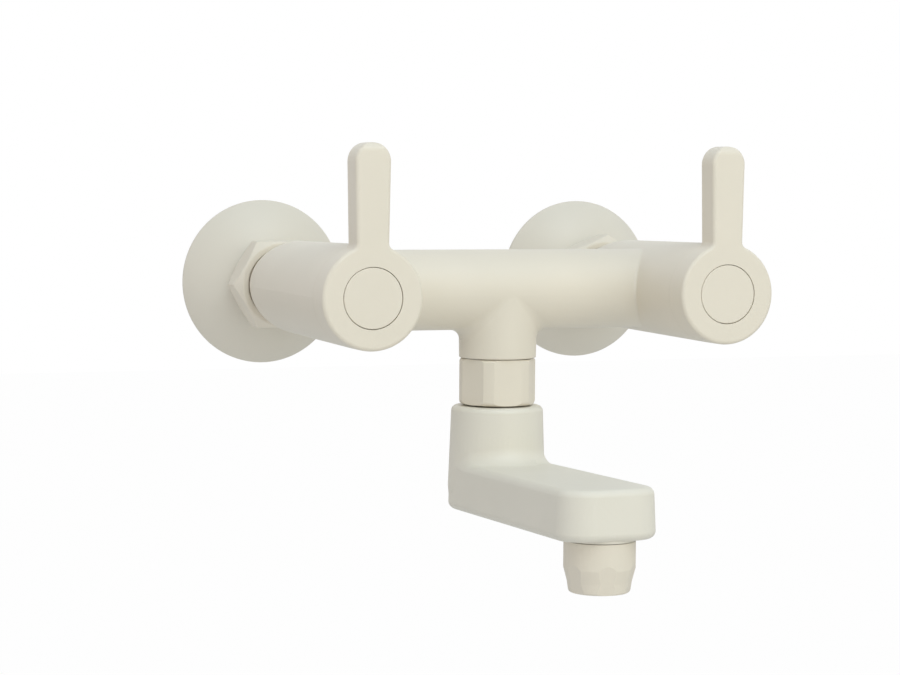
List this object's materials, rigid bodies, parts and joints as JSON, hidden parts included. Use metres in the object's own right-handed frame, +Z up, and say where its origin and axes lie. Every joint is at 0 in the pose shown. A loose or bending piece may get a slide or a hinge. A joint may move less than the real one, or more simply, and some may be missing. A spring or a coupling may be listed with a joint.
{
  "type": "wall mixer",
  "caption": "Wall mixer: cross tube between tapered valve barrels, upright quarter-turn levers, domed wall flanges and a low flat swivel spout, in matt ivory.",
  "frame": {"origin": "on the wall's surface, midway between the axes of the two wall inlets", "axes": "+X to the user's right along the wall, +Y into the wall, +Z up"},
  "size_m": [0.2214, 0.2292, 0.168],
  "materials": {
    "ivory_coat": "satin-matt ivory powder coat",
    "brass": "plain machined",
    "steel": "plain stainless",
    "seal_rubber": "matt black",
    "ceramic": "lapped off-white ceramic",
    "slip_plastic": "matt light grey"
  },
  "bodies": {
    "mixer": {"left_wall_connector": "brass", "left_wall_flange": "ivory_coat", "left_union_nut": "ivory_coat", "left_union_washer": "seal_rubber", "left_inlet_nipple": "brass", "left_headwork": "brass", "left_bonnet_ring": "seal_rubber", "left_seat_seal": "seal_rubber", "left_fixed_disc": "ceramic", "left_thrust_washer": "slip_plastic", "right_wall_connector": "brass", "right_wall_flange": "ivory_coat", "right_union_nut": "ivory_coat", "right_union_washer": "seal_rubber", "right_inlet_nipple": "brass", "right_headwork": "brass", "right_bonnet_ring": "seal_rubber", "right_seat_seal": "seal_rubber", "right_fixed_disc": "ceramic", "right_thrust_washer": "slip_plastic", "mixer_body": "ivory_coat", "spout_nut": "ivory_coat"},
    "left_handle": {"left_moving_disc": "ceramic", "left_spindle": "brass", "left_spindle_seal": "seal_rubber", "left_spindle_clip": "steel", "left_stop_ring": "brass", "left_lever": "ivory_coat", "left_lever_screw": "steel", "left_cover_cap": "ivory_coat"},
    "right_handle": {"right_moving_disc": "ceramic", "right_spindle": "brass", "right_spindle_seal": "seal_rubber", "right_spindle_clip": "steel", "right_stop_ring": "brass", "right_lever": "ivory_coat", "right_lever_screw": "steel", "right_cover_cap": "ivory_coat"},
    "swivel_spout": {"spout": "ivory_coat", "spout_split_ring": "slip_plastic", "upper_tail_seal": "seal_rubber", "lower_tail_seal": "seal_rubber", "nozzle": "ivory_coat", "nozzle_washer": "seal_rubber", "aerator_cage": "slip_plastic", "aerator_screen": "slip_plastic"}
  },
  "joints": [
    {"name": "left_lever_turn", "type": "hinge", "parent": "mixer", "child": "left_handle", "pos_m": [-0.075, -0.15, 0], "axis": [0, -1, 0], "range_deg": [0, 90]},
    {"name": "right_lever_turn", "type": "hinge", "parent": "mixer", "child": "right_handle", "pos_m": [0.075, -0.15, 0], "axis": [0, 1, 0], "range_deg": [0, 90]},
    {"name": "spout_swivel", "type": "hinge", "parent": "mixer", "child": "swivel_spout", "pos_m": [0, -0.093, -0.06], "axis": [0, 0, 1], "range_deg": [-120, 120]}
  ]
}
